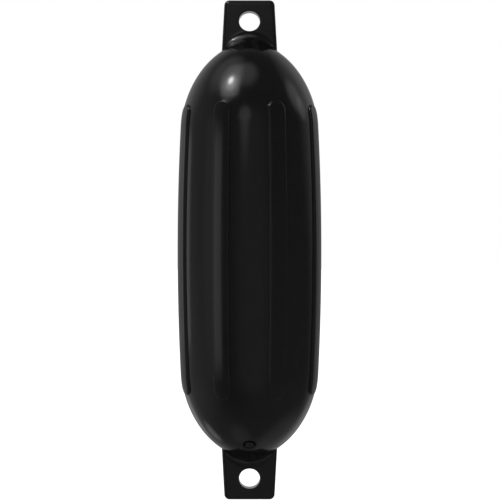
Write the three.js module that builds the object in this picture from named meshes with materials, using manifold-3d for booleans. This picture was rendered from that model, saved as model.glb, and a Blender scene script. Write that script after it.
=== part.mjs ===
import * as THREE from "three";
import { mergeVertices } from "three/addons/utils/BufferGeometryUtils.js";
import Module from "manifold-3d";

const wasm = await Module();
wasm.setup();

// An inflatable fender for the side of a boat: a long ribbed vinyl body with an eye at each end and a
// rubber inflation valve. Millimetres, +Z up, as it hangs. The origin is the centre of the upper eye,
// the tabs around the eyes lie in the XZ plane, and the valve is low on the -Y side.

// Body between the ribs: bowed sides, rounded shoulders and flatter domes
const BODY_RADIUS = 82;
const SIDE_ARC = 2650;
const SIDE_HALF = 140; // from the middle to where the shoulder starts
const SHOULDER_ARC = 120;
const SHOULDER_TURN = 35; // degrees from level up to the skin's normal where the dome starts
const DOME_ARC = 96;
const WALL = 3;

// Ribs along the sides
const RIB_COUNT = 8;
const RIB_WIDTH = 20;
const RIB_HEIGHT = 2.6;
const RIB_OVERRUN = 23; // past the end of the bowed side

// Eyes, and the tabs with the material that they keep around each eye
const EYE_RADIUS = 12;
const EYE_CHAMFER = 1;
const EYE_ABOVE_DOME = 7.5; // from the dome's pole to the eye's edge
const RIM_AT_END = 11.5;
const RIM_AT_SIDE = 16.5; // measured where the tab is narrowest
const TAB_LEAN = 3.1; // degrees that each side leans out towards the dome
const TAB_THICKNESS = 16;
const TAB_CORNER = 5.5;
const TAB_EDGE = 4;
const TAB_SINK = 10; // how far the tab's root runs on below the skin
const FILLET = 24; // between the tab's face and the dome, at the middle
const FILLET_FADE = 0.995; // share of its square that the fillet loses at the tab's sides
const FILLET_OVER_EYE = 4; // at most, how far out from the tab's face the fillet meets the eye's mouth

// Inflation valve, square to the skin, in a shallow dish
const VALVE_TURN = 46; // degrees below level
const VALVE_RADIUS = 4.5;
const VALVE_CLEARANCE = 0.3;
const VALVE_SUNK = 0.6; // face below the skin
const VALVE_FACE_EDGE = 0.8;
const NEEDLE_RADIUS = 1;
const NEEDLE_DEPTH = 8;
const DISH_MARGIN = 3.1; // from the valve's side to the dish's rim
const DISH_DEPTH = 5;
const DISH_DRAFT = 1.2; // narrower at the bottom, on the radius
const BOSS_WALL = 4;
const BOSS_LENGTH = 15; // from the skin to the boss's inner end
const FLANGE_LIP = 2.7; // past the bore's edge
const FLANGE_THICKNESS = 2.5;

// How finely the round shapes are faceted
const BODY_SEGMENTS = 48;
const BODY_STEPS = [3, 5, 5]; // along the side, the shoulder and the dome
const CAVITY_SEGMENTS = 32;
const CAVITY_STEPS = [2, 3, 3];
const RIB_END_SEGMENTS = 8;
const EYE_SEGMENTS = 32;
const VALVE_SEGMENTS = 24;
const CORNER_SEGMENTS = 5;
const EDGE_SEGMENTS = 3;
const FILLET_COLUMNS = 14;
const FILLET_ROWS = 7;
const FOOT_TRIES = 12;

const PAST = 1; // how far a cutter runs past the face that it cuts
const SUNK = 0.6; // how far a joined piece's edge lies inside its neighbour

const VALVE_ANGLE = THREE.MathUtils.degToRad(VALVE_TURN);
const LEAN_ANGLE = THREE.MathUtils.degToRad(TAB_LEAN);
const BORE_RADIUS = VALVE_RADIUS + VALVE_CLEARANCE;
const FACE = TAB_THICKNESS / 2;

const vinyl = new THREE.MeshStandardMaterial({ color: 0x1d1d1f, roughness: 0.22, metalness: 0 });
const rubber = new THREE.MeshStandardMaterial({ color: 0x161616, roughness: 0.6, metalness: 0 });

// The profile is a chain of arcs, each tangent to the next. A point on it is found by turn, the angle
// from level up to the skin's outward normal, and parallel skins share the arcs' centres.
function nextArc(last, arc, end) {
  const step = last.arc - arc;
  return {
    arc,
    end,
    r: last.r + step * Math.cos(last.end),
    z: last.z + step * Math.sin(last.end),
  };
}

const side = {
  arc: SIDE_ARC,
  end: Math.asin(SIDE_HALF / SIDE_ARC),
  r: BODY_RADIUS - SIDE_ARC,
  z: 0,
};
const shoulder = nextArc(side, SHOULDER_ARC, THREE.MathUtils.degToRad(SHOULDER_TURN));
const dome = nextArc(shoulder, DOME_ARC, Math.PI / 2);

function skinPoint(turn, offset = 0) {
  const { arc, r, z } = [side, shoulder, dome].find((run) => turn <= run.end);
  return new THREE.Vector2(r + (arc + offset) * Math.cos(turn), z + (arc + offset) * Math.sin(turn));
}

// The dome's turn and height at a distance from the fender's long axis
function domeTurn(r) {
  return Math.acos((r - dome.r) / DOME_ARC);
}

function domeHeight(r) {
  return dome.z + DOME_ARC * Math.sin(domeTurn(r));
}

// Heights from the fender's middle
const EYE_HEIGHT = domeHeight(0) + EYE_ABOVE_DOME + EYE_RADIUS;
const TAB_END = EYE_HEIGHT + EYE_RADIUS + RIM_AT_END;
const TAB_END_HALF_WIDTH = EYE_RADIUS + RIM_AT_SIDE;
const TAB_SHOULDER = domeHeight(TAB_END_HALF_WIDTH);
const TAB_ROOT = TAB_SHOULDER - TAB_SINK;

function tabHalfWidth(z) {
  return TAB_END_HALF_WIDTH + (TAB_END - z) * Math.tan(LEAN_ANGLE);
}

// A three.js geometry as a solid that can be cut and joined
function solid(geometry) {
  geometry.deleteAttribute("normal");
  geometry.deleteAttribute("uv");
  const merged = mergeVertices(geometry);
  return new wasm.Manifold(
    new wasm.Mesh({
      numProp: 3,
      vertProperties: merged.attributes.position.array,
      triVerts: new Uint32Array(merged.index.array),
    }),
  );
}

function lathe(points, segments) {
  return new THREE.LatheGeometry(
    points.map(([r, y]) => new THREE.Vector2(r, y)),
    segments,
  );
}

function meshOf(name, shape, material) {
  const { vertProperties, triVerts } = shape.getMesh();
  const geometry = new THREE.BufferGeometry();
  geometry.setAttribute("position", new THREE.BufferAttribute(vertProperties, 3));
  geometry.setIndex(new THREE.BufferAttribute(triVerts, 1));
  geometry.computeVertexNormals();
  const mesh = new THREE.Mesh(geometry, material);
  mesh.name = name;
  return mesh;
}

// The body's skin, or one parallel to it, turned about the fender's long axis
function turnedBody(offset, segments, steps) {
  const domeEnd = Math.acos(THREE.MathUtils.clamp(-dome.r / (DOME_ARC + offset), 0, 1));
  const starts = [0, side.end, shoulder.end];
  const ends = [side.end, shoulder.end, domeEnd];
  const upper = steps.flatMap((count, run) =>
    Array.from({ length: count }, (_, i) => {
      const turn = THREE.MathUtils.lerp(starts[run], ends[run], (i + 1) / count);
      const { x, y } = skinPoint(turn, offset);
      return [x, y];
    }),
  );
  upper.at(-1)[0] = 0;
  const lower = upper.map(([r, y]) => [r, -y]).reverse();
  const profile = [...lower, [BODY_RADIUS + offset, 0], ...upper];
  return solid(lathe(profile, segments).rotateX(Math.PI / 2));
}

// A bar with round ends, which makes a rib where it meets a skin that lies a rib's height further out
function ribBar(aboutAxis) {
  const half = RIB_WIDTH / 2;
  const straight = SIDE_HALF + RIB_OVERRUN - half;
  const outline = new THREE.Shape();
  outline.absarc(0, straight, half, 0, Math.PI, false);
  outline.absarc(0, -straight, half, Math.PI, 2 * Math.PI, false);
  const bar = new THREE.ExtrudeGeometry(outline, {
    depth: BODY_RADIUS,
    curveSegments: RIB_END_SEGMENTS,
    bevelEnabled: false,
  });
  bar.translate(0, 0, BODY_RADIUS / 2);
  return solid(bar.rotateX(Math.PI / 2).rotateZ(aboutAxis));
}

// A flat plate with leaning sides, round corners at its end and rounded edges
function tabPlate() {
  const cornerX = TAB_END_HALF_WIDTH + TAB_CORNER * (Math.tan(LEAN_ANGLE) - 1 / Math.cos(LEAN_ANGLE));
  const cornerZ = TAB_END - TAB_CORNER;
  const rootX = tabHalfWidth(TAB_ROOT);
  const outline = new THREE.Shape();
  outline.moveTo(-rootX, TAB_ROOT);
  outline.lineTo(rootX, TAB_ROOT);
  outline.absarc(cornerX, cornerZ, TAB_CORNER, LEAN_ANGLE, Math.PI / 2, false);
  outline.absarc(-cornerX, cornerZ, TAB_CORNER, Math.PI / 2, Math.PI - LEAN_ANGLE, false);
  outline.closePath();
  const plate = new THREE.ExtrudeGeometry(outline, {
    depth: TAB_THICKNESS - 2 * TAB_EDGE,
    curveSegments: CORNER_SEGMENTS,
    bevelThickness: TAB_EDGE,
    bevelSize: TAB_EDGE,
    bevelOffset: -TAB_EDGE,
    bevelSegments: EDGE_SEGMENTS,
  });
  plate.translate(0, 0, TAB_EDGE - FACE);
  return solid(plate.rotateX(Math.PI / 2));
}

// The fillet's section at a place across the tab: an arc tangent to the tab's upright face and to the
// dome's slope, from the top down, and then a point at the tab's root. Each is out from the tab, up.
function filletSection(x, radius) {
  let foot = 0;
  let slope = 0;
  for (let i = 0; i < FOOT_TRIES; i++) {
    const r = Math.hypot(x, FACE + foot);
    slope = Math.atan((FACE + foot) / r / Math.tan(domeTurn(r)));
    foot = radius * (1 - Math.sin(slope));
  }
  const centre = domeHeight(Math.hypot(x, FACE + foot)) + radius * Math.cos(slope);
  const sweep = Math.PI / 2 - slope;
  const section = Array.from({ length: FILLET_ROWS }, (_, i) => {
    const angle = (sweep * i) / (FILLET_ROWS - 1);
    return [radius * (1 - Math.cos(angle)), centre - radius * Math.sin(angle)];
  });
  section[0][0] = -SUNK;
  section.push([section.at(-1)[0], TAB_ROOT]);
  return section;
}

// The fillets on both faces of the tab follow the arch where the faces meet the dome, and die out at the
// tab's sides, where their columns lie closer. A box with rows and columns takes their shape.
function tabFillets() {
  const box = new THREE.BoxGeometry(2, 2, FILLET_ROWS, FILLET_COLUMNS, 1, FILLET_ROWS);
  const position = box.attributes.position;
  const halfWidth = tabHalfWidth(TAB_SHOULDER) - TAB_EDGE;
  for (let i = 0; i < position.count; i++) {
    const across = Math.sin((position.getX(i) * Math.PI) / 2);
    const radius = FILLET * Math.sqrt(1 - FILLET_FADE * across ** 4);
    const section = filletSection(across * halfWidth, radius);
    const [out, z] = section[Math.round(FILLET_ROWS / 2 - position.getZ(i))];
    position.setXYZ(i, across * halfWidth, position.getY(i) * (FACE + out), z);
  }
  return solid(box);
}

// The eye's bore, with a chamfer at both faces, and the mouths that clear the fillets in front of them
function eyeCutter() {
  const mouth = EYE_RADIUS + EYE_CHAMFER + PAST;
  const end = FACE + FILLET_OVER_EYE + PAST;
  const profile = [
    [0, -end],
    [mouth, -end],
    [mouth, -FACE - PAST],
    [EYE_RADIUS, EYE_CHAMFER - FACE],
    [EYE_RADIUS, FACE - EYE_CHAMFER],
    [mouth, FACE + PAST],
    [mouth, end],
    [0, end],
  ];
  return solid(lathe(profile, EYE_SEGMENTS).translate(0, 0, EYE_HEIGHT));
}

// Stands a turned shape square on the lower skin where the valve is. The profile's heights run outwards
// from the skin.
function atValve(profile) {
  const seat = skinPoint(VALVE_ANGLE);
  const shape = lathe(profile, VALVE_SEGMENTS).rotateX(Math.PI + VALVE_ANGLE);
  return solid(shape.translate(0, -seat.x, -seat.y));
}

// A thick ring inside the wall, which the valve's stem passes through
function valveBoss() {
  const radius = BORE_RADIUS + BOSS_WALL;
  return atValve([
    [0, -BOSS_LENGTH],
    [radius, -BOSS_LENGTH],
    [radius, -WALL / 2],
    [0, -WALL / 2],
  ]);
}

// The dish in the skin around the valve's face, and the bore through the boss
function valveCutter() {
  const rim = VALVE_RADIUS + DISH_MARGIN;
  return atValve([
    [0, -BOSS_LENGTH - PAST],
    [BORE_RADIUS, -BOSS_LENGTH - PAST],
    [BORE_RADIUS, -DISH_DEPTH],
    [rim - DISH_DRAFT, -DISH_DEPTH],
    [rim, 0],
    [rim, PAST],
    [0, PAST],
  ]);
}

function fenderBody() {
  let body = turnedBody(0, BODY_SEGMENTS, BODY_STEPS);
  const ribSkin = turnedBody(RIB_HEIGHT, BODY_SEGMENTS, BODY_STEPS);
  for (let i = 0; i < RIB_COUNT; i++) {
    const bar = ribBar(((i + 0.5) * 2 * Math.PI) / RIB_COUNT);
    body = body.add(bar.intersect(ribSkin));
  }
  const tab = tabPlate().add(tabFillets()).subtract(eyeCutter());
  body = body.add(tab).add(tab.rotate([180, 0, 0]));
  const cavity = turnedBody(-WALL, CAVITY_SEGMENTS, CAVITY_STEPS);
  return body.subtract(cavity).add(valveBoss()).subtract(valveCutter());
}

// A rubber plug: a round face with a needle hole, a stem through the boss, and a flange behind the boss
// that holds it in
function inflationValve() {
  const flangeTop = -BOSS_LENGTH - VALVE_CLEARANCE;
  const flangeEnd = flangeTop - FLANGE_THICKNESS;
  const needleEnd = -VALVE_SUNK - NEEDLE_DEPTH;
  return atValve([
    [0, flangeEnd],
    [BORE_RADIUS + FLANGE_LIP, flangeEnd],
    [BORE_RADIUS + FLANGE_LIP, flangeTop],
    [VALVE_RADIUS, flangeTop],
    [VALVE_RADIUS, -VALVE_SUNK - VALVE_FACE_EDGE],
    [VALVE_RADIUS - VALVE_FACE_EDGE, -VALVE_SUNK],
    [NEEDLE_RADIUS, -VALVE_SUNK],
    [NEEDLE_RADIUS, needleEnd],
    [0, needleEnd],
  ]);
}

// Both pieces are made around the fender's middle, and hang below the origin by the upper eye's height.
const fender = new THREE.Group();
fender.add(meshOf("fender_body", fenderBody(), vinyl));
fender.add(meshOf("inflation_valve", inflationValve(), rubber));
fender.children.forEach((mesh) => mesh.position.setZ(-EYE_HEIGHT));

export default fender;
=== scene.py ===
"""An inflatable fender for the side of a boat: a long black vinyl body with eight ribs along it, a tab with
an eye at each end, and a rubber inflation valve in a dish low on its front.

Every shape is worked out in millimetres from the fender's middle, +Z up and -Y to the front, and goes
into its mesh in metres from the centre of the upper eye. Turn is the angle from level up to the skin's
outward normal, and azimuth is measured about the long axis from -Y towards +X."""

import bmesh
import bpy
import numpy as np
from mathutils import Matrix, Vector


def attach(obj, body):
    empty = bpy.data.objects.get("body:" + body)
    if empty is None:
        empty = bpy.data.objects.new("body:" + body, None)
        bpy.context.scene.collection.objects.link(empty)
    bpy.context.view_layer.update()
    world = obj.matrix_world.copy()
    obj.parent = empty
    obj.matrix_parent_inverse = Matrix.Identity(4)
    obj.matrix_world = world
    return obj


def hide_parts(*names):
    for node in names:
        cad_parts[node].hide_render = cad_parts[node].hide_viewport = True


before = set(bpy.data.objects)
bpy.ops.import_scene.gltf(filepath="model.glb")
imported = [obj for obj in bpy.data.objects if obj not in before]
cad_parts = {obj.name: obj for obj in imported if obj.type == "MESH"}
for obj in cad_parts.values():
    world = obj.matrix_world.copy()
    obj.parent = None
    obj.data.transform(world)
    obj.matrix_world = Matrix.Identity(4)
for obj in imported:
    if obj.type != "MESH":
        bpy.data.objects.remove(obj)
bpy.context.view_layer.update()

MM = 0.001

# Body between the ribs: bowed sides, rounded shoulders and flatter domes
BODY_RADIUS = 82.0
SIDE_ARC = 2650.0
SIDE_HALF = 140.0
SHOULDER_ARC = 120.0
SHOULDER_TURN = np.radians(35)
DOME_ARC = 96.0

# Ribs
RIB_COUNT = 8
RIB_HALF = 10.0
RIB_HEIGHT = 2.6
RIB_CAP_CENTRE = 153.0  # from the middle to the centre of a rib's round end
RIB_DRAFT = np.radians(8)
RIB_ROOT_RADIUS = 0.6
RIB_EDGE_RADIUS = 1.7
RIB_BLOCK_TURN = np.radians(17.1)  # the ribs' ends lie inside the skin up to this turn

# Tabs and eyes
EYE_RADIUS = 12.0
EYE_LIP = 1.0
EYE_FLAT = 0.09  # share of its radius by which the eye is flatter on the dome's side
EYE_ABOVE_DOME = 7.5
TAB_PAST_EYE = 12.7
TAB_END_HALF_WIDTH = 28.5
TAB_LEAN = np.tan(np.radians(3.1))
TAB_FACE = 8.0
TAB_EDGE = 4.0
TAB_CORNER = 5.5
CAP_LINE = 0.8  # length of the line that the tab's flat end closes on, as a share of the end
NECK_START = 32.0  # radius from which the dome runs on straight towards the tab
NECK_SPREAD = 1.6  # the neck's width across the tab against its depth
NECK_FULL, NECK_GONE = 19.0, 28.0  # half widths across the tab between which it dies out
FILLET = 16.0  # between the tab's face and the dome, at the middle
FILLET_FADE = 0.995  # share of its square that the fillet loses at the tab's sides

# Inflation valve, and the dish that it sits in
VALVE_TURN = np.radians(46.5)
VALVE_RADIUS = 4.5
VALVE_SUNK = 0.1
DISH_RIM = 7.6
DISH_RIM_ROUND = 0.7
DISH_FLOOR = 6.5
DISH_FOOT_ROUND = 0.6
DISH_DEPTH = 5.0
DISH_TILT = 0.45  # slope of the floor, which lies deeper on the upper side
DISH_MID_RING = 5.4
BORE_RADIUS = 4.8
BORE_LIP = 0.25
BOSS_LENGTH = 15.0
POCKET_RADIUS = 8.2
POCKET_END = 18.5
FLANGE_RADIUS = 7.5
FLANGE_TOP = 15.3
FLANGE_END = 17.8
FLANGE_BEVEL = 0.4
VALVE_EDGE = 0.8
STEM_RING = 1.5  # from the round edge to a ring on the stem that keeps its shading straight
FACE_RIM, FACE_HOLLOW = 2.9, 2.2  # radii between which the valve's face drops round the needle hole
HOLLOW_DEPTH = 0.35
NEEDLE_RADIUS = 1.0
NEEDLE_LIP = 0.3
NEEDLE_END = 8.6
VALVE_COLUMNS = 64


# The skin's profile


def next_centre(centre, arc, new_arc, turn):
    """Centre of an arc that runs on tangent from the last one: the centres lie apart by the difference
    of the two radii, along the normal at the joint."""
    return (
        centre[0] + (arc - new_arc) * np.cos(turn),
        centre[1] + (arc - new_arc) * np.sin(turn),
    )


SIDE_CENTRE = (BODY_RADIUS - SIDE_ARC, 0.0)
SIDE_TURN = np.arcsin(SIDE_HALF / SIDE_ARC)
SHOULDER_CENTRE = next_centre(SIDE_CENTRE, SIDE_ARC, SHOULDER_ARC, SIDE_TURN)
DOME_CENTRE = next_centre(SHOULDER_CENTRE, SHOULDER_ARC, DOME_ARC, SHOULDER_TURN)


def skin_at_turn(turn):
    """Radius and height of the skin's profile where its normal has the given turn: centre + arc * (cos
    turn, sin turn), with the arc of the run that the turn lies in."""
    runs = [turn <= SIDE_TURN, turn <= SHOULDER_TURN, turn > SHOULDER_TURN]
    arc = np.select(runs, [SIDE_ARC, SHOULDER_ARC, DOME_ARC])
    centre_r = np.select(runs, [SIDE_CENTRE[0], SHOULDER_CENTRE[0], DOME_CENTRE[0]])
    centre_z = np.select(runs, [SIDE_CENTRE[1], SHOULDER_CENTRE[1], DOME_CENTRE[1]])
    return centre_r + arc * np.cos(turn), centre_z + arc * np.sin(turn)


def skin_at_height(z, above):
    """Radius and height of the point that lies above the side or shoulder, along the normal at height z.
    The turn there is asin((height - centre) / arc), and the lower half mirrors the upper."""
    up = np.abs(z)
    on_side = up <= SIDE_HALF
    arc = np.where(on_side, SIDE_ARC, SHOULDER_ARC)
    centre_r = np.where(on_side, SIDE_CENTRE[0], SHOULDER_CENTRE[0])
    centre_z = np.where(on_side, 0.0, SHOULDER_CENTRE[1])
    turn = np.arcsin((up - centre_z) / arc)
    return (
        centre_r + (arc + above) * np.cos(turn),
        np.sign(z) * (centre_z + (arc + above) * np.sin(turn)),
    )


def dome_turn(r):
    """Turn of the dome at radius r: acos((r - dome centre) / dome arc)."""
    return np.arccos((r - DOME_CENTRE[0]) / DOME_ARC)


def dome_height(r):
    """Height of the dome at radius r: dome centre + dome arc * sin(turn)."""
    return DOME_CENTRE[1] + DOME_ARC * np.sin(dome_turn(r))


def above_dome(points):
    """How far points lie outside the dome's skin: in the plane through the long axis, the distance to
    the arc's centre less the arc. The lower dome mirrors the upper."""
    r = np.hypot(points[..., 0], points[..., 1]) - DOME_CENTRE[0]
    z = np.abs(points[..., 2]) - DOME_CENTRE[1]
    return np.hypot(r, z) - DOME_ARC


EYE_HEIGHT = dome_height(0.0) + EYE_ABOVE_DOME + EYE_RADIUS
TAB_END = EYE_HEIGHT + EYE_RADIUS + TAB_PAST_EYE


# The body's grid: rows from end to end, columns once round


def all_round(quarter, flip_x, flip_y):
    """A quarter's values, from -Y to +X, carried round in mirror images: past +X with the sign of
    flip_y, and past +Y with the sign of flip_x."""
    half = np.concatenate([quarter, flip_y * quarter[-2::-1]])
    return np.concatenate([half, flip_x * half[-2:0:-1]])


# Columns to a quarter of the way round, in degrees: closer together over the blocks of its two ribs
RIB_COLUMNS = 12
FIRST_RIB_COLUMN = 6
RIB_BLOCK = 9.0  # from a rib's middle to the side of its block
first_rib, second_rib = 180 / RIB_COUNT, 90 - 180 / RIB_COUNT
quarter_azimuth = np.concatenate(
    [
        np.linspace(0, first_rib - RIB_BLOCK, FIRST_RIB_COLUMN, endpoint=False),
        np.linspace(first_rib - RIB_BLOCK, first_rib + RIB_BLOCK, RIB_COLUMNS, endpoint=False),
        np.linspace(first_rib + RIB_BLOCK, second_rib - RIB_BLOCK, RIB_COLUMNS, endpoint=False),
        np.linspace(second_rib - RIB_BLOCK, second_rib + RIB_BLOCK, RIB_COLUMNS, endpoint=False),
        np.linspace(second_rib + RIB_BLOCK, 90, FIRST_RIB_COLUMN, endpoint=False),
    ]
)
QUARTER = len(quarter_azimuth)
COLUMNS = 4 * QUARTER
azimuth = np.radians(90 * np.arange(4)[:, None] + quarter_azimuth).ravel()

# On a tab the same columns run over half its front face, round the edge, and along half its side. They
# lie closer towards the edge, where the fillet dies out.
FACE_COLUMNS, EDGE_COLUMNS = 32, 8
EVENNESS = 0.4  # 1 spaces the face's columns evenly, and 0 by a sine
SIDE_COLUMNS = QUARTER - FACE_COLUMNS - EDGE_COLUMNS
edge_angle = np.radians(90) * np.arange(EDGE_COLUMNS + 1) / EDGE_COLUMNS
even_share = np.arange(FACE_COLUMNS) / FACE_COLUMNS
face_share = EVENNESS * even_share + (1 - EVENNESS) * np.sin(np.radians(90) * even_share)
side_share = np.arange(1, SIDE_COLUMNS + 1) / SIDE_COLUMNS
FLAT_HALF = TAB_FACE - TAB_EDGE
tab_share = np.concatenate([face_share, np.ones(QUARTER + 1 - FACE_COLUMNS)])
tab_edge_x = np.concatenate([0 * face_share, TAB_EDGE * np.sin(edge_angle), TAB_EDGE + 0 * side_share])
tab_y = np.concatenate(
    [
        -TAB_FACE + 0 * face_share,
        -FLAT_HALF - TAB_EDGE * np.cos(edge_angle),
        -FLAT_HALF * (1 - side_share),
    ]
)
normal_x = np.concatenate([0 * face_share, np.sin(edge_angle), 1 + 0 * side_share])
normal_y = np.concatenate([-1 + 0 * face_share, -np.cos(edge_angle), 0 * side_share])
tab_share = all_round(tab_share, -1, 1)
tab_edge_x = all_round(tab_edge_x, -1, 1)
normal_x = all_round(normal_x, -1, 1)
tab_y = all_round(tab_y, 1, -1)
normal_y = all_round(normal_y, 1, -1)


def flat_half_width(z):
    """Half the width of the tab's flat face at height z, which grows towards the dome as the sides lean."""
    return TAB_END_HALF_WIDTH + (TAB_END - z) * TAB_LEAN - TAB_EDGE


def tab_outline_x(z):
    """Where each column's line on the tab stands across the tab at height z: the flat face's half width
    times the column's share, plus its place on the edge."""
    return tab_share * flat_half_width(z) + tab_edge_x


def turned_rows(turns):
    """Rows round the skin at the given turns: (r sin azimuth, -r cos azimuth, z)."""
    r, z = skin_at_turn(turns)
    across = r[:, None] * np.sin(azimuth)
    deep = -r[:, None] * np.cos(azimuth)
    return np.stack([across, deep, z[:, None] + 0 * across], axis=2)


def neck_height(x, y):
    """Height of the dome with the neck on it: from NECK_START the dome runs on straight towards the tab,
    over rho = hypot(x / spread, y), and what that adds fades across the tab from NECK_FULL to NECK_GONE."""
    rho = np.minimum(np.hypot(x / NECK_SPREAD, y), NECK_START)
    slope = 1 / np.tan(dome_turn(NECK_START))
    added = dome_height(NECK_START) + (NECK_START - rho) * slope - dome_height(rho)
    fade = np.clip((NECK_GONE - np.abs(x)) / (NECK_GONE - NECK_FULL), 0, 1)
    return dome_height(np.hypot(x, y)) + added * fade**2 * (3 - 2 * fade)


# The fillet between a tab and the dome is widest at the middle of the tab's faces. Its foot is found in
# steps, because the slope changes with the distance from the tab.
FOOT_TRIES = 12
SLOPE_STEP = 0.01  # mm over which the slope is measured
fillet_radius = FILLET * np.sqrt(1 - FILLET_FADE * tab_share**4)
root_x = tab_outline_x(dome_height(TAB_END_HALF_WIDTH))
foot_out = 0 * root_x
for _ in range(FOOT_TRIES):
    foot_x, foot_y = root_x + normal_x * foot_out, tab_y + normal_y * foot_out
    foot_z = neck_height(foot_x, foot_y)
    next_z = neck_height(foot_x + SLOPE_STEP * normal_x, foot_y + SLOPE_STEP * normal_y)
    foot_slope = np.arctan((foot_z - next_z) / SLOPE_STEP)
    foot_out = fillet_radius * (1 - np.sin(foot_slope))
fillet_centre = foot_z + fillet_radius * np.cos(foot_slope)
fillet_sweep = np.radians(90) - foot_slope


def fillet_rows(share):
    """Rows up the fillet: an arc of fillet_radius from its tangent on the dome's slope, at angle sweep,
    to its tangent on the tab, at angle 0. Each row stands off the tab by radius * (1 - cos angle), at
    centre - radius * sin angle, and the first is moved onto the dome, a share that fades up the arc."""
    share = share[:, None]
    angle = fillet_sweep * share
    out = fillet_radius * (1 - np.cos(angle))
    z = fillet_centre - fillet_radius * np.sin(angle)
    x = tab_outline_x(z) + normal_x * out
    y = tab_y + normal_y * out
    z = z + (neck_height(x[0], y[0]) - z[0]) * share**3
    return np.stack([x, y, z], axis=2)


def front_y(x, z):
    """The tab's front with its fillet: the face, and below the fillet's centre radius - sqrt(radius^2 -
    (centre - z)^2) in front of it. Radius and centre are those of the column that passes through x."""
    share = np.abs(x) / flat_half_width(np.abs(z))
    radius = np.interp(share, face_share, fillet_radius[:FACE_COLUMNS])
    below = np.maximum(np.interp(share, face_share, fillet_centre[:FACE_COLUMNS]) - np.abs(z), 0)
    return -TAB_FACE - radius + np.sqrt(radius**2 - below**2)


def dome_to_tab_rows(circle, foot, count):
    """Rows between the last round row of the dome and the foot of the fillet: in plan each column goes
    straight from one to the other."""
    share = np.linspace(0, 1, count + 1)[1:-1, None]
    x = circle[:, 0] * (1 - share) + foot[:, 0] * share
    y = circle[:, 1] * (1 - share) + foot[:, 1] * share
    return np.stack([x, y, neck_height(x, y)], axis=2)


def tab_rows(z):
    """Rows up the tab at heights z, one height for each row and column."""
    x = tab_outline_x(z)
    return np.stack([x, tab_y + 0 * x, z], axis=2)


# The tab's end, round a core: its edges keep the radius TAB_EDGE, and its corners TAB_CORNER
core_x = np.clip(tab_outline_x(TAB_END), TAB_CORNER - TAB_END_HALF_WIDTH, TAB_END_HALF_WIDTH - TAB_CORNER)
core_y = np.clip(tab_y, -FLAT_HALF, FLAT_HALF)
past_core = np.minimum(np.abs(tab_outline_x(TAB_END) - core_x), TAB_CORNER - TAB_EDGE)
end_radius = TAB_CORNER - np.sqrt((TAB_CORNER - TAB_EDGE) ** 2 - past_core**2)


def tab_end_rows(count):
    """Rows over the tab's rounded end: core + (outline - core) * cos a, at end - radius * (1 - sin a)."""
    a = np.radians(90) * np.arange(1, count + 1)[:, None] / count
    z = TAB_END - end_radius * (1 - np.sin(a))
    x = core_x + (tab_outline_x(z) - core_x) * np.cos(a)
    y = core_y + (tab_y - core_y) * np.cos(a)
    return np.stack([x, y, z], axis=2)


def tab_cap_rows(count):
    """Rows over the tab's flat end, which close in on a line along its middle, CAP_LINE as long."""
    share = 1 - np.arange(1, count + 1)[:, None] / count
    x = core_x * (CAP_LINE + (1 - CAP_LINE) * share)
    return np.stack([x, core_y * share, TAB_END + 0 * x], axis=2)


def between(first, last, count):
    """Rows in equal steps after first up to and with last."""
    share = np.arange(1, count + 1)[:, None] / count
    return first + (last - first) * share


# The blocks that patches replace, and how many steps the grid takes along each stretch
EYE_BLOCK_ABOVE = 17.0  # from the eye's centre to the top of its block
EYE_BLOCK_SHARE = 0.45  # of the fillet's sweep, up to where the eye's block starts
ROUND_DOME_RADIUS = 46.0  # rows are round out from this radius, and bend to the tab inside it
SIDE_STEPS, RIB_END_STEPS, SHOULDER_STEPS, DOME_STEPS = 24, 14, 10, 8
NECK_STEPS = 14
LOWER_FILLET_STEPS = 10
UPPER_FILLET_STEPS = 8
EYE_STEPS = 14
TAB_STEPS, TAB_END_STEPS, CAP_STEPS = 2, 8, 3
DISH_ROWS_ABOVE, DISH_ROWS_BELOW = 7, 3  # the dish's block, from where the lower dome's rows aren't round
DISH_HALF_COLUMNS = 6
EYE_HALF_COLUMNS = 17
FRONT_STEPS = 6  # from the edge of the eye's block to its mouth

side_turns = np.linspace(0, SIDE_TURN, SIDE_STEPS + 1)
rib_end_turns = np.linspace(SIDE_TURN, RIB_BLOCK_TURN, RIB_END_STEPS + 1)[1:]
shoulder_turns = np.linspace(RIB_BLOCK_TURN, SHOULDER_TURN, SHOULDER_STEPS + 1)[1:]
dome_turns = np.linspace(SHOULDER_TURN, dome_turn(ROUND_DOME_RADIUS), DOME_STEPS + 1)[1:]
round_rows = turned_rows(np.concatenate([side_turns, rib_end_turns, shoulder_turns, dome_turns]))
lower_share = np.linspace(1, EYE_BLOCK_SHARE, LOWER_FILLET_STEPS + 1)
upper_share = np.linspace(EYE_BLOCK_SHARE, 0, UPPER_FILLET_STEPS + 1)[1:]
fillet = fillet_rows(np.concatenate([lower_share, upper_share]))
flat_end = np.full(COLUMNS, EYE_HEIGHT + EYE_BLOCK_ABOVE)
upper_rows = np.concatenate(
    [
        round_rows,
        dome_to_tab_rows(round_rows[-1], fillet[0], NECK_STEPS),
        fillet,
        tab_rows(between(fillet[-1, :, 2], flat_end, EYE_STEPS)),
        tab_rows(between(flat_end, TAB_END - end_radius, TAB_STEPS)),
        tab_end_rows(TAB_END_STEPS),
        tab_cap_rows(CAP_STEPS),
    ]
)
MIDDLE = len(upper_rows) - 1
RIB_ROWS = SIDE_STEPS + RIB_END_STEPS
DISH_ROWS = (len(round_rows) - DISH_ROWS_ABOVE, len(round_rows) + DISH_ROWS_BELOW)
EYE_START = len(round_rows) + NECK_STEPS - 1 + LOWER_FILLET_STEPS
EYE_ROWS = (EYE_START, EYE_START + UPPER_FILLET_STEPS + EYE_STEPS)
body_grid = np.concatenate([upper_rows[:0:-1] * [1, 1, -1], upper_rows])


# Patches that take the place of a block of the grid


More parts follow.
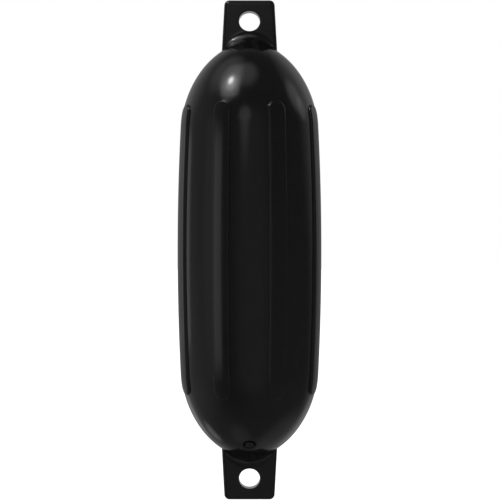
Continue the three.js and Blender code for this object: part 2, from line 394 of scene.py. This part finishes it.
def block_loop(rows, columns):
    """The points round a block of the grid, once, anticlockwise as seen from outside."""
    (low, high), (left, right) = rows, columns
    up, across = np.arange(low, high), np.arange(left, right)
    row = np.concatenate([low + 0 * across, up, high + 0 * across, up[::-1] + 1])
    column = np.concatenate([across, right + 0 * up, across[::-1] + 1, left + 0 * up])
    return body_grid[row, column % COLUMNS]


def grid_faces(rows, columns, closed):
    """Four-sided faces between neighbouring rows and columns, which face outwards where columns run
    anticlockwise and rows run up or inwards."""
    across = np.arange(columns if closed else columns - 1)
    row, column = np.meshgrid(np.arange(rows - 1), across, indexing="ij")
    beside = (column + 1) % columns
    corners = [row * columns + column, row * columns + beside]
    corners += [(row + 1) * columns + beside, (row + 1) * columns + column]
    return np.stack(corners, axis=2)


def rib_section():
    """Steps in over a rib's edge, each out from the rib's outline and above the skin: a hollow arc at the
    root, tangent to the skin and to the leaning wall, and a round arc at the edge, tangent to the wall
    and to the top."""
    lean, half = RIB_DRAFT, RIB_HEIGHT / 2
    root_out = (RIB_ROOT_RADIUS - (RIB_ROOT_RADIUS - half) * np.sin(lean)) / np.cos(lean)
    edge_out = (-RIB_EDGE_RADIUS - (half - RIB_EDGE_RADIUS) * np.sin(lean)) / np.cos(lean)
    root = np.linspace(np.radians(270), np.radians(180) + lean, 5)
    edge = np.linspace(lean, np.radians(90), 6)
    out = [root_out + RIB_ROOT_RADIUS * np.cos(root), edge_out + RIB_EDGE_RADIUS * np.cos(edge)]
    above = [
        RIB_ROOT_RADIUS + RIB_ROOT_RADIUS * np.sin(root),
        RIB_HEIGHT - RIB_EDGE_RADIUS + RIB_EDGE_RADIUS * np.sin(edge),
    ]
    to_middle = np.array([0.15, 0.35, 0.6, 0.8, 1.0])
    top_out = edge_out + to_middle * (-RIB_HALF - edge_out)
    out = np.concatenate(out + [top_out])
    above = np.concatenate(above + [RIB_HEIGHT + 0 * top_out])
    return out[:, None], above[:, None]


def rib_patch(rib_azimuth, loop):
    """One rib. A point is found by its distance across from the rib's middle plane, its height, and how
    far it stands above the skin. Rings go from the block's edge to the rib's outline, over its edge and
    across its top to its middle line. Beside the straight part a ring keeps each point's height, and
    round an end its angle about the end's centre."""
    across = loop[:, 0] * np.cos(rib_azimuth) + loop[:, 1] * np.sin(rib_azimuth)
    height = loop[:, 2]
    centre = np.clip(height, -RIB_CAP_CENTRE, RIB_CAP_CENTRE)
    reach = np.hypot(across, height - centre)
    spoke = np.stack([across / reach, (height - centre) / reach])
    out, above = rib_section()
    rings = np.maximum(RIB_HALF + out, 0)
    ring_across, ring_height = spoke[0] * rings, centre + spoke[1] * rings
    share = np.array([0.0, 1 / 3, 2 / 3])[:, None]
    u = np.concatenate([across + (ring_across[0] - across) * share, ring_across])
    v = np.concatenate([height + (ring_height[0] - height) * share, ring_height])
    w = np.concatenate([0 * share, above]) + 0 * v
    r, z = skin_at_height(v, w)
    angle = rib_azimuth + np.arcsin(u / r)
    return np.stack([r * np.sin(angle), -r * np.cos(angle), z], axis=2)


def eye_patch(loop, height):
    """An eye through the tab. Rings go over the front from the block's edge to the mouth, each point at
    its own angle about the eye, round the lip as a quarter circle, along the bore, and out on the back
    as on the front. Heights about the eye's centre are squeezed by half of EYE_FLAT and moved outwards by
    as much, which takes it all from the dome's side."""
    angle = np.arctan2(loop[:, 2] - height, loop[:, 0])
    up = (1 - EYE_FLAT / 2) * np.sin(angle) + EYE_FLAT / 2 * np.sign(height)
    lip = np.radians([0, 22.5, 45, 67.5, 90])[:, None]
    radius = np.concatenate([EYE_RADIUS + EYE_LIP * (1 - np.sin(lip)), [[EYE_RADIUS], [EYE_RADIUS]]])
    x, z = radius * np.cos(angle), height + radius * up
    lip_y = front_y(x[0], z[0]) + EYE_LIP * (1 - np.cos(lip))
    ring = np.stack([x, np.concatenate([lip_y, [-TAB_FACE / 2 + 0 * angle, 0 * angle]]), z], axis=2)
    share = np.linspace(0, 1, FRONT_STEPS, endpoint=False)[:, None, None]
    front = loop + (ring[0] - loop) * share
    fit = loop[:, 1] - front_y(loop[:, 0], loop[:, 2])
    front[..., 1] = front_y(front[..., 0], front[..., 2]) + fit * (1 - share[..., 0])
    front = np.concatenate([front, ring])
    return np.concatenate([front, front[-2::-1] * [1, -1, 1]])


seat_r, seat_z = skin_at_turn(VALVE_TURN)
VALVE_SEAT = np.array([0.0, -float(seat_r), -float(seat_z)])
VALVE_AXIS = np.array([0.0, -np.cos(VALVE_TURN), -np.sin(VALVE_TURN)])
VALVE_RIGHT = np.array([1.0, 0.0, 0.0])
VALVE_UP = np.cross(VALVE_AXIS, VALVE_RIGHT)


def round_valve(radius, out, angle):
    """Rings about the valve's axis: seat + radius * (right cos angle + up sin angle) + out * axis."""
    spoke = np.cos(angle)[:, None] * VALVE_RIGHT + np.sin(angle)[:, None] * VALVE_UP
    return VALVE_SEAT + radius[:, None, None] * spoke + out[..., None] * VALVE_AXIS


def on_dome(points):
    """Points pulled along the valve's axis until they lie on the dome."""
    for _ in range(6):
        points = points - above_dome(points)[..., None] * VALVE_AXIS
    return points


def dish_patch(loop):
    """The dish, the bore for the valve's stem and the room behind it. Rings come in over the dome to the
    rim, round it on a quarter circle, down the leaning wall, round its foot, in over the floor, and down
    the bore to the room that holds the flange. The rim follows the dome, and the floor, out to the bore's
    lip, drops by tilt * radius * sin angle towards its upper side."""
    angle = np.arctan2((loop - VALVE_SEAT) @ VALVE_UP, (loop - VALVE_SEAT) @ VALVE_RIGHT)
    rim = DISH_RIM + DISH_RIM_ROUND
    rim_ring = on_dome(round_valve(np.array([rim]), np.zeros((1, len(angle))), angle))
    share = np.array([0.0, 0.4, 0.75, 1.0])[:, None, None]
    skirt = on_dome(loop + (rim_ring - loop) * share)
    skirt[0] = loop
    rim_drop = (rim_ring[0] - VALVE_SEAT) @ VALVE_AXIS
    bend = np.radians([22.5, 45, 67.5, 90])
    foot = np.radians([0, 30, 60, 90])
    rim_radius = rim - DISH_RIM_ROUND * np.sin(bend)
    rim_out = DISH_RIM_ROUND * (np.cos(bend) - 1)
    foot_radius = DISH_FLOOR - DISH_FOOT_ROUND * (1 - np.cos(foot))
    foot_out = -DISH_DEPTH + DISH_FOOT_ROUND * (1 - np.sin(foot))
    floor_radius = np.concatenate([foot_radius, [DISH_MID_RING, BORE_RADIUS + BORE_LIP, BORE_RADIUS]])
    floor_out = np.concatenate([foot_out, [-DISH_DEPTH, -DISH_DEPTH, -DISH_DEPTH - BORE_LIP]])
    room_radius = np.array([BORE_RADIUS, POCKET_RADIUS, POCKET_RADIUS, POCKET_RADIUS / 2, 0.0])
    room_out = -np.array([BOSS_LENGTH, BOSS_LENGTH, POCKET_END, POCKET_END, POCKET_END])
    radius = np.concatenate([rim_radius, floor_radius, room_radius])
    out = np.concatenate(
        [
            rim_out[:, None] + rim_drop,
            floor_out[:, None] - DISH_TILT * floor_radius[:, None] * np.sin(angle),
            room_out[:, None] + 0 * angle,
        ]
    )
    return np.concatenate([skirt, round_valve(radius, out, angle)])


# Meshes
MERGE_DISTANCE = 0.002
FLAT_WEIGHT = 60


def piece_from(name, surfaces, material):
    """One closed piece from surfaces, each its points and its four-sided faces. Points that meet are
    merged, which also closes the poles, and the result goes into metres from the upper eye. Wide faces
    count for more in the shading, so that they look even beside the narrow faces of a rounded edge."""
    starts = np.cumsum([0] + [points.size // 3 for points, _ in surfaces[:-1]])
    points = np.concatenate([points.reshape(-1, 3) for points, _ in surfaces])
    faces = np.concatenate([faces.reshape(-1, 4) + start for (_, faces), start in zip(surfaces, starts)])
    points = (points - [0, 0, EYE_HEIGHT]) * MM
    mesh = bpy.data.meshes.new(name)
    mesh.from_pydata(points.tolist(), [], faces.tolist())
    work = bmesh.new()
    work.from_mesh(mesh)
    bmesh.ops.remove_doubles(work, verts=work.verts, dist=MERGE_DISTANCE * MM)
    loose = [vertex for vertex in work.verts if not vertex.link_faces]
    bmesh.ops.delete(work, geom=loose, context="VERTS")
    for face in work.faces:
        face.smooth = True
    work.to_mesh(mesh)
    work.free()
    mesh.materials.append(material)
    piece = bpy.data.objects.new(name, mesh)
    bpy.context.scene.collection.objects.link(piece)
    shading = piece.modifiers.new("even_shading", "WEIGHTED_NORMAL")
    shading.weight = FLAT_WEIGHT
    return piece


def fender_surfaces():
    """The grid without its blocks, and the patches that fill them."""
    rows, columns = body_grid.shape[:2]
    faces = grid_faces(rows, columns, True)
    kept = np.ones(faces.shape[:2], dtype=bool)
    surfaces = []
    rib_rows = (MIDDLE - RIB_ROWS, MIDDLE + RIB_ROWS)
    for rib in range(RIB_COUNT):
        left = FIRST_RIB_COLUMN + rib * columns // RIB_COUNT
        kept[rib_rows[0] : rib_rows[1], left : left + RIB_COLUMNS] = False
        loop = block_loop(rib_rows, (left, left + RIB_COLUMNS))
        surfaces.append(rib_patch((rib + 0.5) * 2 * np.pi / RIB_COUNT, loop))
    dish = (MIDDLE - DISH_ROWS[1], MIDDLE - DISH_ROWS[0])
    half = DISH_HALF_COLUMNS
    kept[dish[0] : dish[1], np.arange(-half, half)] = False
    surfaces.append(dish_patch(block_loop(dish, (-half, half))))
    half = EYE_HALF_COLUMNS
    for end in (-1, 1):
        eye = (MIDDLE + EYE_ROWS[0], MIDDLE + EYE_ROWS[1])
        if end < 0:
            eye = (MIDDLE - EYE_ROWS[1], MIDDLE - EYE_ROWS[0])
        for centre in (0, columns // 2):
            kept[eye[0] : eye[1], (centre + np.arange(-half, half)) % columns] = False
        surfaces.append(eye_patch(block_loop(eye, (-half, half)), end * EYE_HEIGHT))
    patches = [(rings, grid_faces(rings.shape[0], rings.shape[1], True)) for rings in surfaces]
    return [(body_grid, faces[kept])] + patches


def valve_surfaces():
    """The plug turned about the valve's axis: the flange behind the boss, the stem with a round edge, and
    the face with a shallow hollow round its needle hole. The profile runs from the flange's back to the
    hole's floor."""
    bend = np.radians([0, 30, 60, 90])
    hollow = VALVE_SUNK + HOLLOW_DEPTH
    radius = np.concatenate(
        [
            [0.0, FLANGE_RADIUS - FLANGE_BEVEL],
            [FLANGE_RADIUS, FLANGE_RADIUS, FLANGE_RADIUS - FLANGE_BEVEL, VALVE_RADIUS, VALVE_RADIUS],
            VALVE_RADIUS - VALVE_EDGE * (1 - np.cos(bend)),
            [FACE_RIM, FACE_HOLLOW],
            NEEDLE_RADIUS + NEEDLE_LIP * (1 - np.sin(bend)),
            [NEEDLE_RADIUS, 0.0],
        ]
    )
    out = np.concatenate(
        [
            [-FLANGE_END, -FLANGE_END],
            [-FLANGE_END + FLANGE_BEVEL, -FLANGE_TOP - FLANGE_BEVEL, -FLANGE_TOP, -FLANGE_TOP],
            [-VALVE_SUNK - VALVE_EDGE - STEM_RING],
            -VALVE_SUNK - VALVE_EDGE * (1 - np.sin(bend)),
            [-VALVE_SUNK, -hollow],
            -hollow - NEEDLE_LIP * (1 - np.cos(bend)),
            [-NEEDLE_END, -NEEDLE_END],
        ]
    )
    angle = np.linspace(0, 2 * np.pi, VALVE_COLUMNS, endpoint=False)
    rings = round_valve(radius, out[:, None] + 0 * angle, angle)
    return [(rings, grid_faces(len(radius), len(angle), True))]


# Materials


def colour(code):
    """An sRGB hex colour as linear: c / 12.92 up to 0.04045, and ((c + 0.055) / 1.055)^2.4 above it."""
    c = np.array([int(code[i : i + 2], 16) for i in (1, 3, 5)]) / 255
    linear = np.where(c <= 0.04045, c / 12.92, ((c + 0.055) / 1.055) ** 2.4)
    return (*linear.tolist(), 1.0)


def add_node(tree, kind, values=None, links=None, **settings):
    """Adds a node. Settings go to the node, values to its sockets, and links join a socket to the named
    output of another node."""
    made = tree.nodes.new(kind)
    for name, value in settings.items():
        setattr(made, name, value)
    for socket, value in (values or {}).items():
        made.inputs[socket].default_value = value
    for socket, (source, output) in (links or {}).items():
        tree.links.new(source.outputs[output], made.inputs[socket])
    return made


def per_mm(size):
    """Noise scale that gives features of a size in millimetres, on coordinates in metres."""
    return 1 / (size * MM)


def new_material(name):
    """An empty node material and its tree."""
    made = bpy.data.materials.new(name)
    made.use_nodes = True
    made.node_tree.nodes.clear()
    return made, made.node_tree


WAVE_WIDTH, WAVE_HEIGHT = 34, 0.06
PEEL_WIDTH, PEEL_HEIGHT = 1.6, 0.004
FILM_WIDTH = 18


def rotomoulded_vinyl():
    """Plasticised PVC, rotomoulded against a polished mould. To the eye it is a deep black with soft-edged
    reflections: slow waves bend them, a fine orange peel breaks their edges, and a thin film of
    plasticiser makes the gloss and the black a little uneven."""
    made, tree = new_material("rotomoulded_vinyl")
    place = add_node(tree, "ShaderNodeTexCoord")
    here = {"Vector": (place, "Object")}
    wave = add_node(tree, "ShaderNodeTexNoise", {"Scale": per_mm(WAVE_WIDTH), "Detail": 1.0}, here)
    peel = add_node(tree, "ShaderNodeTexNoise", {"Scale": per_mm(PEEL_WIDTH), "Detail": 2.0}, here)
    film = add_node(
        tree, "ShaderNodeTexNoise", {"Scale": per_mm(FILM_WIDTH), "Detail": 4.0, "Roughness": 0.6}, here
    )
    waved = add_node(
        tree, "ShaderNodeBump", {"Strength": 1.0, "Distance": WAVE_HEIGHT * MM}, {"Height": (wave, "Fac")}
    )
    peeled = add_node(
        tree,
        "ShaderNodeBump",
        {"Strength": 1.0, "Distance": PEEL_HEIGHT * MM},
        {"Height": (peel, "Fac"), "Normal": (waved, "Normal")},
    )
    rough = add_node(
        tree,
        "ShaderNodeMapRange",
        {"From Min": 0.3, "From Max": 0.7, "To Min": 0.11, "To Max": 0.15},
        {"Value": (film, "Fac")},
    )
    tint = add_node(
        tree,
        "ShaderNodeMix",
        {"A": colour("#0e0e10"), "B": colour("#131315")},
        {"Factor": (film, "Fac")},
        data_type="RGBA",
    )
    surface = add_node(
        tree,
        "ShaderNodeBsdfPrincipled",
        {"IOR": 1.53},
        {"Base Color": (tint, "Result"), "Roughness": (rough, "Result"), "Normal": (peeled, "Normal")},
    )
    add_node(tree, "ShaderNodeOutputMaterial", None, {"Surface": (surface, "BSDF")})
    return made


GRAIN_WIDTH, GRAIN_HEIGHT = 0.5, 0.03
BLOOM_WIDTH = 4


def moulded_rubber():
    """Nitrile rubber, compression moulded. To the eye it is a flat, slightly greyer black than the vinyl,
    with a dry fine grain and pale patches where wax has bloomed to the surface."""
    made, tree = new_material("moulded_rubber")
    place = add_node(tree, "ShaderNodeTexCoord")
    here = {"Vector": (place, "Object")}
    grain = add_node(tree, "ShaderNodeTexNoise", {"Scale": per_mm(GRAIN_WIDTH), "Detail": 3.0}, here)
    bloom = add_node(tree, "ShaderNodeTexNoise", {"Scale": per_mm(BLOOM_WIDTH), "Detail": 3.0}, here)
    grained = add_node(
        tree, "ShaderNodeBump", {"Strength": 0.6, "Distance": GRAIN_HEIGHT * MM}, {"Height": (grain, "Fac")}
    )
    tint = add_node(
        tree,
        "ShaderNodeMix",
        {"A": colour("#121212"), "B": colour("#1b1b1c")},
        {"Factor": (bloom, "Fac")},
        data_type="RGBA",
    )
    surface = add_node(
        tree,
        "ShaderNodeBsdfPrincipled",
        {"IOR": 1.52, "Roughness": 0.42},
        {"Base Color": (tint, "Result"), "Normal": (grained, "Normal")},
    )
    add_node(tree, "ShaderNodeOutputMaterial", None, {"Surface": (surface, "BSDF")})
    return made


body = piece_from("fender_skin", fender_surfaces(), rotomoulded_vinyl())
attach(body, "root")
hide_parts("fender_body")

valve = piece_from("valve_plug", valve_surfaces(), moulded_rubber())
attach(valve, "root")
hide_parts("inflation_valve")


# Studio, in metres
LAMP_DISTANCE = 1.7
MIDDLE_POINT = Vector((0, 0, -EYE_HEIGHT * MM))  # the fender's middle, from the upper eye


def toward(azimuth_degrees, elevation):
    """Unit direction from the fender's middle, by azimuth from -Y towards +X and elevation above level:
    (cos e sin a, -cos e cos a, sin e)."""
    a, e = np.radians(azimuth_degrees), np.radians(elevation)
    return Vector((np.cos(e) * np.sin(a), -np.cos(e) * np.cos(a), np.sin(e)))


def softbox(name, azimuth_degrees, elevation, width, height, radiance, shape="RECTANGLE"):
    """An area lamp LAMP_DISTANCE from the fender's middle, which it faces, with its width and height in
    degrees as the fender sees it. Its power is pi * area * radiance."""
    lamp = bpy.data.lights.new(name, "AREA")
    lamp.shape = shape
    lamp.size = 2 * LAMP_DISTANCE * np.tan(np.radians(width / 2))
    lamp.size_y = 2 * LAMP_DISTANCE * np.tan(np.radians(height / 2))
    lamp.energy = np.pi * lamp.size * lamp.size_y * radiance
    made = bpy.data.objects.new(name, lamp)
    bpy.context.scene.collection.objects.link(made)
    made.location = MIDDLE_POINT + toward(azimuth_degrees, elevation) * LAMP_DISTANCE
    made.rotation_euler = (-toward(azimuth_degrees, elevation)).to_track_quat("-Z", "Y").to_euler()
    made.visible_camera = False


softbox("key", -49, 57, 6.5, 7.5, 11.5, "ELLIPSE")
softbox("left_strip", -49.5, 0, 13, 28, 0.45)
softbox("far_left_strip", -117, 1, 17, 22, 0.34)

# What the gloss sees round the fender: soft round lights on a dim room, each a direction, the angles
# from it where it begins to fade and is gone, and its radiance
ROOM_GREY = 0.065
ROOM_LIGHTS = [
    (180, 0, 8, 12, 0.7),  # backdrop behind the fender
    (180, 5, 20, 75, 0.28),  # wall that the backdrop lights
    (-92, 4, 15, 58, 0.13),  # left wall
    (-64, 2, 4, 18, 0.1),  # spill beside the left strip
    (-46, 49, 5, 18, 1.6),  # spill below the key
    (-46, 52, 2, 10, 2.4),  # glare round the key
    (-55, 58, 5, 21, 0.85),  # the key's diffuser
    (-31, 44, 2, 9, 0.45),  # edge of the diffuser
    (-84, 60, 6, 28, 0.42),  # ceiling over the left wall, lit by the key
    (-13, 68, 2, 21, 0.5),  # ceiling over the camera
    (-130, 28, 5, 30, 0.1),  # left wall, further back
    (-8, 19, 5, 12, 0.42),  # small reflector over the camera
    (4, -1, 8, 34, 0.085),  # camera's side of the room
    (96, 31, 2, 16, 0.44),  # card on the right
    (105, 20, 3, 11, 0.42),  # lower corner of that card
    (118, 30, 10, 34, 0.22),  # right wall
    (-132, -42, 4, 10, 0.45),  # low card, left of the backdrop
    (-149, -20, 4, 12, 0.25),  # backdrop's foot, left
    (148, -28, 4, 16, 0.18),  # backdrop's foot, right
    (126, -56, 8, 32, 0.14),  # ground on the right
    (-104, -46, 12, 55, 0.07),  # ground on the left
    (-62, -76, 4, 18, 0.09),  # ground under the left strip
    (60, -50, 20, 70, 0.05),  # ground towards the camera
]
SOFT_LIGHT = 0.75  # even light on matt surfaces from all round

world = bpy.data.worlds.new("studio")
bpy.context.scene.world = world
world.use_nodes = True
tree = world.node_tree
tree.nodes.clear()
path = add_node(tree, "ShaderNodeLightPath")
direction = add_node(tree, "ShaderNodeTexCoord")
total = add_node(tree, "ShaderNodeValue")
total.outputs[0].default_value = ROOM_GREY
for azimuth_degrees, elevation, full, gone, radiance in ROOM_LIGHTS:
    facing = add_node(
        tree,
        "ShaderNodeVectorMath",
        {1: tuple(toward(azimuth_degrees, elevation))},
        {0: (direction, "Generated")},
        operation="DOT_PRODUCT",
    )
    glow = add_node(
        tree,
        "ShaderNodeMapRange",
        {
            "From Min": np.cos(np.radians(gone)),
            "From Max": np.cos(np.radians(full)),
            "To Max": radiance,
        },
        {"Value": (facing, "Value")},
        interpolation_type="SMOOTHSTEP",
    )
    total = add_node(
        tree, "ShaderNodeMath", None, {0: (total, 0), 1: (glow, "Result")}, operation="ADD"
    )
room = add_node(tree, "ShaderNodeBackground", {"Color": (1, 1, 1, 1)}, {"Strength": (total, 0)})
soft = add_node(tree, "ShaderNodeBackground", {"Color": (1, 1, 1, 1), "Strength": SOFT_LIGHT})
white = add_node(tree, "ShaderNodeBackground", {"Color": (1, 1, 1, 1), "Strength": 1.0})
lit = add_node(
    tree, "ShaderNodeMixShader", None, {0: (path, "Is Diffuse Ray"), 1: (room, 0), 2: (soft, 0)}
)
seen = add_node(
    tree, "ShaderNodeMixShader", None, {0: (path, "Is Camera Ray"), 1: (lit, 0), 2: (white, 0)}
)
add_node(tree, "ShaderNodeOutputWorld", None, {"Surface": (seen, 0)})


FLOOR_HEIGHT = -0.75
FLOOR_SIZE = 60.0
FLOOR_LIFT = 0.55  # strength that takes the floor's own grey to white for the camera


def studio_floor():
    """A pale matt floor under the hanging fender. The camera sees it lifted to white, with the shadow
    on it, and the gloss sees past it into the room."""
    made, tree = new_material("matt_floor_paint")
    path = add_node(tree, "ShaderNodeLightPath")
    paint = add_node(tree, "ShaderNodeBsdfDiffuse", {"Color": colour("#ebebe9")})
    lift = add_node(tree, "ShaderNodeEmission", {"Strength": FLOOR_LIFT})
    both = add_node(tree, "ShaderNodeAddShader", None, {0: (paint, 0), 1: (lift, 0)})
    past = add_node(tree, "ShaderNodeBsdfTransparent")
    seen = add_node(
        tree, "ShaderNodeMixShader", None, {0: (path, "Is Camera Ray"), 1: (paint, 0), 2: (both, 0)}
    )
    gloss = add_node(
        tree, "ShaderNodeMixShader", None, {0: (path, "Is Glossy Ray"), 1: (seen, 0), 2: (past, 0)}
    )
    add_node(tree, "ShaderNodeOutputMaterial", None, {"Surface": (gloss, 0)})
    half = FLOOR_SIZE / 2
    corners = [(-half, -half), (half, -half), (half, half), (-half, half)]
    mesh = bpy.data.meshes.new("floor")
    mesh.from_pydata([(x, y, FLOOR_HEIGHT) for x, y in corners], [], [(0, 1, 2, 3)])
    mesh.materials.append(made)
    floor = bpy.data.objects.new("floor", mesh)
    bpy.context.scene.collection.objects.link(floor)


studio_floor()

# Camera, level with the fender's middle. The shift is at most half a pixel of the photograph.
CAMERA_DISTANCE = 1.45
camera_data = bpy.data.cameras.new("camera")
camera_data.lens = 91.1
camera_data.sensor_width = 36.0
camera_data.shift_x = 0.001
camera_data.shift_y = -0.0003
camera = bpy.data.objects.new("camera", camera_data)
bpy.context.scene.collection.objects.link(camera)
camera.location = MIDDLE_POINT + toward(0, 0) * CAMERA_DISTANCE
camera.rotation_euler = (np.radians(90), 0, 0)
bpy.context.scene.camera = camera

bpy.context.scene.view_settings.view_transform = "Standard"
